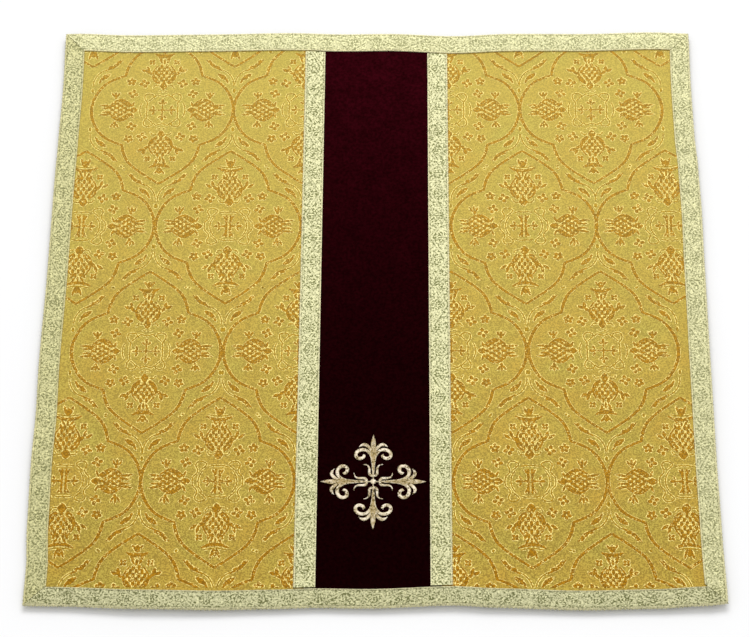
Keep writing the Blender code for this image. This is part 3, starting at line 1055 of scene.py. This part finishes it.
def braid_blank():
    """The body of a straight length of galloon, in millimetres: along X, across Y from its outer edge."""
    length = 2 * (HALF_SIDE / MM + ZIGZAG_MARGIN)
    steps = ceil(length / BRAID_STEP)
    rows = len(BRAID_SECTION) - 1
    width = BRAID_SECTION[-1].place
    bm = bmesh.new()
    verts = bmesh.ops.create_grid(bm, x_segments=steps, y_segments=rows, size=0.5)["verts"]
    for vert in verts:
        index = round((vert.co.x + 0.5) * steps)
        band = BRAID_SECTION[round((vert.co.y + 0.5) * rows)]
        along = (index / steps - 0.5) * length
        from_edge = min(band.place, width - band.place)
        across = band.place
        height = band.height + RIB_RELIEF * (-1) ** index
        if from_edge < SELVEDGE:
            twist = cos(2 * pi * (along + from_edge) / TWIST_PITCH)
            height = band.height + TWIST_DEPTH * twist / 2
            if from_edge == 0:
                across += SCALLOP * (1 - twist) / 2 * (1 if band.place == 0 else -1)
        vert.co = (along, across, height)
    for face in bm.faces:
        across = face.calc_center_median().y
        from_edge = min(across, width - across)
        inner = BED_THREAD if from_edge < GROOVE else BODY_THREAD
        face.material_index = CORD_THREAD if from_edge < SELVEDGE else inner
    rim = [edge for edge in bm.edges if edge.is_boundary]
    skirt = bmesh.ops.extrude_edge_only(bm, edges=rim)["geom"]
    for vert in skirt:
        if isinstance(vert, bmesh.types.BMVert):
            vert.co.z = 0.0
    under = [edge for edge in bm.edges if edge.is_boundary]
    bmesh.ops.edgeloop_fill(bm, edges=under)
    return bm


def fan_petals():
    """The petals of one fan in rings about its foot."""
    return [
        Petal(ring.out * cos(radians(angle)), ring.out * sin(radians(angle)), ring.length, ring.width, angle)
        for ring in FAN_RINGS for angle in ring.angles
    ]


def stand_fan(petals, middle, edge, upward):
    """A fan's petals where the fan stands on a selvedge and opens across the braid."""
    return [
        petal._replace(x=middle + petal.x, y=edge + upward * petal.y, turn=petal.turn * upward)
        for petal in petals
    ]


def zigzag_line(start, offset, half_width):
    """The two slopes of one period of a zigzag line."""
    width = BRAID_SECTION[-1].place
    low = start + offset
    peak = low + ZIGZAG_PERIOD / 2
    return [
        Line(((first, ZIGZAG_MARGIN, half_width), (peak, width - ZIGZAG_MARGIN, half_width)))
        for first in (low, low + ZIGZAG_PERIOD)
    ]


def braid_length():
    """A straight length of finished galloon as a mesh: body, zigzag, fans and sewing."""
    bm = braid_blank()
    width = BRAID_SECTION[-1].place
    body = BRAID_SECTION[len(BRAID_SECTION) // 2].height
    periods = ceil(HALF_SIDE / MM / ZIGZAG_PERIOD)
    beds = []
    pale = []
    for period in range(-periods, periods):
        start = period * ZIGZAG_PERIOD
        for bed, petals in ((beds, FAN_BED), (pale, fan_petals())):
            bed += stand_fan(petals, start + ZIGZAG_PERIOD / 2, FAN_FOOT, 1)
            bed += stand_fan(petals, start, width - FAN_FOOT, -1)
        beds += zigzag_line(start, 0.0, ZIGZAG_BED / 2)
        for offset in (-ZIGZAG_SPREAD / 2, ZIGZAG_SPREAD / 2):
            pale += zigzag_line(start, offset, ZIGZAG_HALF_WIDTH)
    for shapes, relief, thread in ((beds, BED_RELIEF, BED_THREAD), (pale, BRAID_RELIEF, FAN_THREAD)):
        flat = [(flat_shape(shape, 0.0, ZIGZAG_PERIOD), thread) for shape in shapes]
        raise_shapes(bm, flat, body - BRAID_SINK, BRAID_SINK + relief)
    stitches = int(HALF_SIDE / MM / STITCH_PITCH)
    sewing = [
        (flat_petal(Petal(index * STITCH_PITCH, place, STITCH_LENGTH, STITCH_WIDTH, 0), 0.0), FAN_THREAD)
        for index in range(-stitches, stitches + 1) for place in (STITCH_PLACE, width - STITCH_PLACE)
    ]
    raise_shapes(bm, sewing, STITCH_BASE, STITCH_HEIGHT)
    tufts = int(HALF_SIDE / MM / TUFT_PITCH)
    loose = []
    for index in range(-tufts, tufts + 1):
        reach = TUFT_LENGTH * (1 + TUFT_UNEVENNESS * sin(index * TUFT_WAVES[0]))
        lean = 90 + TUFT_LEAN * sin(index * TUFT_WAVES[1])
        tuft = Petal(index * TUFT_PITCH, TUFT_PLACE, reach, TUFT_WIDTH, lean)
        loose.append((flat_petal(tuft, 0.0), CORD_THREAD))
    raise_shapes(bm, loose, TUFT_BASE, TUFT_HEIGHT)
    bmesh.ops.scale(bm, vec=(MM, MM, MM), verts=bm.verts)
    return as_mesh("galloon_length", bm)


def read_course(node):
    """A strip's axes, outer edge and cut ends, read from the underside of its solid."""
    low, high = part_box(node)
    size = high - low
    along = 0 if size.x > size.y else 1
    across = 1 - along
    middle = (low[across] + high[across]) / 2
    outward = 1 if middle > 0 else -1
    points = {
        (round(vert.co.x, 6), round(vert.co.y, 6))
        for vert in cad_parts[node].data.vertices if vert.co.z < low.z + UNDERSIDE_REACH
    }
    outer, inner = (
        sorted(
            (point for point in points if side * (point[across] - middle) > GALLOON_WIDTH / 4),
            key=lambda point: point[along],
        )
        for side in (outward, -outward)
    )
    ends = ((outer[0], inner[0]), (outer[-1], inner[-1]))
    return along, across, outward, outer, ends


def make_braid(place, length_of_braid, materials):
    """A strip of galloon: a straight length laid along its solid's outer edge and cut at both ends."""
    node = "galloon_" + place
    look = BRAID_LOOKS[place]
    along, across, outward, outer, ends = read_course(node)
    mesh = length_of_braid.copy()
    places = mesh_places(mesh)
    laid = np.empty_like(places)
    outer_along = [point[along] for point in outer]
    outer_across = [point[across] for point in outer]
    quick, slow = (np.sin(places[:, 0] * wave + 1.0) for wave in FRAY_WAVES)
    frayed = np.where(places[:, 1] < RIM_REACH * MM, look.fray * MM * (0.5 + 0.5 * quick * slow), 0.0)
    laid[:, along] = places[:, 0]
    laid[:, across] = np.interp(places[:, 0], outer_along, outer_across)
    laid[:, across] += outward * (frayed - places[:, 1] * look.width)
    laid[:, 2] = places[:, 2] + BRAID_BASE
    mesh.vertices.foreach_set("co", laid.astype(np.float32).ravel())
    bm = bmesh.new()
    bm.from_mesh(mesh)
    bpy.data.meshes.remove(mesh)
    for end, (first, second) in enumerate(ends):
        line = Vector((second[0] - first[0], second[1] - first[1], 0.0)).normalized()
        normal = Vector((line.y, -line.x, 0.0))
        if normal[along] * (1 if end else -1) < 0:
            normal = -normal
        cut_away(bm, (*first, 0.0), normal)
    return finish_piece("braid_" + place, bm, materials, (node,), look)


def satin_thread():
    """One satin stitch as a mesh: along X from -0.5 to 0.5, arched, as wide as one thread."""
    bm = bmesh.new()
    verts = bmesh.ops.create_grid(bm, x_segments=4, y_segments=2, size=0.5)["verts"]
    for vert in verts:
        arch = 1 - (2 * vert.co.x) ** 2
        ridge = 0.0 if abs(vert.co.y) > 0.25 else THREAD_RIDGE
        vert.co.z = (THREAD_END_RISE + (1 - THREAD_END_RISE) * arch) * THREAD_RISE + ridge
        narrowing = THREAD_END_WIDTH + (1 - THREAD_END_WIDTH) * arch ** 0.5
        vert.co.y *= 2 * THREAD_HALF_WIDTH * narrowing
    bmesh.ops.edgeloop_fill(bm, edges=[edge for edge in bm.edges if edge.is_boundary])
    bmesh.ops.recalc_face_normals(bm, faces=bm.faces)
    return as_mesh("satin_thread", bm)


def lay_thread(bm, thread, middle, length, angle, height, tint):
    """One stitch of a length, with its middle at a place."""
    place = Matrix.Translation((middle.x, middle.y, height)) @ Matrix.Rotation(angle, 4, "Z")
    copied = stamp(bm, thread, place @ Matrix.Diagonal((length, 1.0, 1.0, 1.0)))
    layer = bm.verts.layers.float["tint"]
    for vert in copied:
        vert[layer] = tint


def satin(bm, thread, chart, slant, deep, height=0.0):
    """A ribbon filled with satin stitches across it, over a low padding."""
    first = len(bm.verts)
    padding = flat_strip(smooth_course(chart, PADDING_STEP), -PADDING_INSET)
    raise_shapes(bm, [(padding, 0)], 0.0, height + PADDING_HEIGHT)
    bm.verts.ensure_lookup_table()
    layer = bm.verts.layers.float["tint"]
    for vert in bm.verts[first:]:
        vert[layer] = 1.0
    pitch = bpy.context.scene.veil_sizes.thread_pitch / MM
    course = smooth_course(chart, pitch)
    for index, row in enumerate(course):
        along, left = course_frame(course, index)
        angle = Vector((1.0, 0.0)).angle_signed(left) * -1 + radians(slant)
        uneven = sin(index * UNEVEN_WAVES[0] + chart[0][1] * UNEVEN_WAVES[1])
        # Painted sheen: the tint follows the way the stitch lies
        turned = 0.5 + 0.5 * sin(2 * angle + TINT_FACING)
        tint = min(1.0, max(0.0, deep + TINT_TURN * turned + TINT_UNEVENNESS * uneven))
        length = 2 * (row.z + THREAD_OVERLAP) + LENGTH_UNEVENNESS * uneven * row.z
        lay_thread(bm, thread, row, max(SHORTEST_STITCH, length), angle, height, tint)


def stem_fill(bm, thread):
    """Long stitches that fill the stem between its two outlines."""
    for index, row in enumerate(smooth_course(STEM, FILL_STEP)[:-1]):
        lanes = max(1, int(2 * row.z / FILL_PITCH))
        for lane in range(lanes):
            out = (lane - (lanes - 1) / 2) * FILL_PITCH
            shift = FILL_STEP / 2 if lane % 2 else 0.0
            uneven = sin(index * FILL_WAVES[0] + lane * FILL_WAVES[1])
            middle = Vector((out, row.y + shift))
            tint = FILL_TINT + FILL_TINT_UNEVENNESS * uneven
            lay_thread(bm, thread, middle, FILL_LENGTH, pi / 2, FILL_HEIGHT, tint)


def outline_chart(chart, side):
    """A narrow ribbon along one side of a wider one."""
    return tuple(
        (side * max(0.0, half - OUTLINE_INSET), up, OUTLINE_HALF_WIDTH) for right, up, half in chart
    )


def mirrored_chart(chart, side):
    """A chart, turned over where the side is negative."""
    return tuple((side * right, up, half) for right, up, half in chart)


def cross_arm(thread):
    """One arm of the cross, upright above its middle, as a mesh."""
    bm = bmesh.new()
    bm.verts.layers.float.new("tint")
    stem_fill(bm, thread)
    satin(bm, thread, LINK, 0, PALER_TINT)
    for side in (1, -1):
        slant = side * THREAD_SLANT
        satin(bm, thread, mirrored_chart(SCROLL, side), slant, PALER_TINT)
        satin(bm, thread, mirrored_chart(SIDE_LEAF, side), slant, 0.0)
        satin(bm, thread, mirrored_chart(WHISKER, side), slant, PALER_TINT)
        satin(bm, thread, outline_chart(STEM, side), slant, PALER_TINT, STEM_LIFT)
    satin(bm, thread, CENTRE_LEAF, THREAD_SLANT, 0.0, STEM_LIFT)
    return as_mesh("cross_arm", bm)


def bead_chart():
    """The middle bead as a ribbon whose width follows a circle."""
    angles = [pi * step / BEAD_STEPS for step in range(BEAD_STEPS + 1)]
    return tuple(
        (-BEAD_RADIUS * cos(angle), 0.0, max(BEAD_TIP, BEAD_RADIUS * sin(angle))) for angle in angles
    )


class VEIL_OT_stage(bpy.types.Operator):
    """Set the camera, the floor and the light"""

    bl_idname = "veil.stage"
    bl_label = "Studio"

    def execute(self, context):
        scene = context.scene
        bm = bmesh.new()
        bmesh.ops.create_grid(bm, x_segments=1, y_segments=1, size=FLOOR_SIZE / 2)
        bmesh.ops.translate(bm, verts=bm.verts, vec=(0.0, 0.0, -FLOOR_DROP))
        floor = bpy.data.objects.new("studio_floor", as_mesh("studio_floor", bm))
        scene.collection.objects.link(floor)
        material, tree, shader = new_material("studio_floor", 0.9, specular=0.0)
        nearness = group_value(tree, shared_groups()[2], From=FLOOR_FADE, To=-FLOOR_FADE)
        set_colour(tree, shader, mixed(tree, nearness, FLOOR_FAR, FLOOR_NEAR))
        floor.data.materials.append(material)
        floor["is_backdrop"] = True

        elevation = radians(CAMERA_ELEVATION)
        yaw = radians(CAMERA_YAW)
        back = Vector((sin(yaw) * cos(elevation), -cos(yaw) * cos(elevation), sin(elevation)))
        turn = back.to_track_quat("Z", "Y").to_matrix().to_4x4()
        roll = Matrix.Rotation(radians(CAMERA_ROLL), 4, "Z")
        camera = bpy.data.objects.new("camera", bpy.data.cameras.new("camera"))
        camera.matrix_world = Matrix.Translation(CAMERA_AIM + back * CAMERA_DISTANCE) @ turn @ roll
        camera.data.lens = CAMERA_LENS
        camera.data.sensor_width = CAMERA_SENSOR
        scene.collection.objects.link(camera)
        scene.camera = camera

        world = bpy.data.worlds.new("studio")
        world.use_nodes = True
        background = world.node_tree.nodes["Background"]
        background.inputs["Color"].default_value = (1.0, 1.0, 1.0, 1.0)
        background.inputs["Strength"].default_value = scene.veil_studio.dome
        scene.world = world
        window = bpy.data.lights.new("window", "AREA")
        window.shape = "RECTANGLE"
        window.size = WINDOW_WIDTH
        window.size_y = WINDOW_HEIGHT
        window.energy = scene.veil_studio.key
        lamp = bpy.data.objects.new("window", window)
        lamp.location = WINDOW_PLACE
        lamp.rotation_euler = (WINDOW_AIM - WINDOW_PLACE).to_track_quat("-Z", "Y").to_euler()
        scene.collection.objects.link(lamp)
        scene.view_settings.view_transform = "Standard"
        return {"FINISHED"}


class VEIL_OT_brocade(bpy.types.Operator):
    """Lay the two brocade panels with their woven figure"""

    bl_idname = "veil.brocade"
    bl_label = "Brocade panels"

    def execute(self, context):
        colours = context.scene.veil_colours
        ground = ground_material(colours)
        threads = (
            figure_material("brocade_figure_thread", colours.orange, colours.pale, 0.65, colours),
            figure_material("brocade_line_thread", colours.olive, colours.ground, 0.62, colours),
            edge_material(colours),
        )
        medallions = {name: medallion(chart, context.scene.veil_sizes) for name, chart in FIGURE.items()}
        for side in ("left", "right"):
            node = "brocade_panel_" + side
            figure = make_figure(side, medallions, threads)
            sewn = (figure.name, "braid_border_" + side, "braid_column_" + side)
            lay_cloth("brocade_cloth_" + side, node, "brocade", ground, *sewn)
        return {"FINISHED"}


class VEIL_OT_velvet(bpy.types.Operator):
    """Lay the velvet stripe"""

    bl_idname = "veil.velvet"
    bl_label = "Velvet stripe"

    def execute(self, context):
        node = "velvet_stripe"
        pile = velvet_material(context.scene.veil_colours)
        sewn = ("satin_cross", "braid_border_top", "braid_border_bottom")
        lay_cloth("velvet_pile", node, "velvet", pile, *sewn)
        return {"FINISHED"}


class VEIL_OT_galloon(bpy.types.Operator):
    """Sew on the galloon: four border strips with mitred corners and two columns"""

    bl_idname = "veil.galloon"
    bl_label = "Galloon"

    def execute(self, context):
        colours = context.scene.veil_colours
        materials = (
            braid_material("galloon_thread", colours.braid_bed, colours.braid, 0.47),
            braid_material("galloon_figure_thread", colours.braid_bed, colours.braid, 0.38),
            edge_cord_material(colours),
            braid_material("galloon_bed_thread", colours.braid_bed, colours.braid, 0.58),
        )
        length_of_braid = braid_length()
        for place in BRAID_LOOKS:
            make_braid(place, length_of_braid, materials)
        return {"FINISHED"}


class VEIL_OT_cross(bpy.types.Operator):
    """Embroider the cross: four like arms of satin stitch about a bead"""

    bl_idname = "veil.cross"
    bl_label = "Embroidered cross"

    def execute(self, context):
        thread = satin_thread()
        arm = cross_arm(thread)
        bm = bmesh.new()
        bm.verts.layers.float.new("tint")
        for quarter in range(4):
            stamp(bm, arm, Matrix.Rotation(quarter * pi / 2, 4, "Z"))
        satin(bm, thread, bead_chart(), 0, 0.0, BEAD_LIFT)
        base = Vector((CROSS_MIDDLE.x, CROSS_MIDDLE.y + CROSS_SHIFT, CROSS_BASE))
        drawn = MM * CROSS_DRAWN_SHARE
        place = Matrix.Translation(base) @ Matrix.Diagonal((drawn, drawn, MM, 1.0))
        bmesh.ops.transform(bm, matrix=place, verts=bm.verts)
        stitches = satin_material(context.scene.veil_colours)
        finish_piece("satin_cross", bm, (stitches,), ("embroidered_cross",))
        return {"FINISHED"}


OPERATORS = (VEIL_OT_stage, VEIL_OT_galloon, VEIL_OT_cross, VEIL_OT_brocade, VEIL_OT_velvet)


class VEIL_PT_panel(bpy.types.Panel):
    """Sizes, colours and pieces of the veil"""

    bl_idname = "VEIL_PT_panel"
    bl_label = "Chalice veil"
    bl_space_type = "VIEW_3D"
    bl_region_type = "UI"
    bl_category = "Veil"

    def draw(self, context):
        layout = self.layout
        for settings in (context.scene.veil_sizes, context.scene.veil_colours, context.scene.veil_studio):
            box = layout.box()
            for name in settings.__annotations__:
                box.prop(settings, name)
        for operator in OPERATORS:
            layout.operator(operator.bl_idname)


SETTINGS = {"veil_sizes": VeilSizes, "veil_colours": VeilColours, "veil_studio": VeilStudio}
CLASSES = (*SETTINGS.values(), *OPERATORS, VEIL_PT_panel)


def register():
    """Add the settings, operators and panel to Blender."""
    for each in CLASSES:
        bpy.utils.register_class(each)
    for name, settings in SETTINGS.items():
        setattr(bpy.types.Scene, name, bpy.props.PointerProperty(type=settings))


def unregister():
    """Take the settings, operators and panel out again."""
    for name in SETTINGS:
        delattr(bpy.types.Scene, name)
    for each in reversed(CLASSES):
        bpy.utils.unregister_class(each)


def main():
    """Make the whole veil."""
    register()
    bpy.ops.veil.stage()
    bpy.ops.veil.galloon()
    bpy.ops.veil.cross()
    bpy.ops.veil.brocade()
    bpy.ops.veil.velvet()
    boxes = {"cad": CAD_BOX, "visual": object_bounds()}
    {name: [list(corner) for corner in box] for name, box in boxes.items()}


if __name__ == "__main__":
    main()
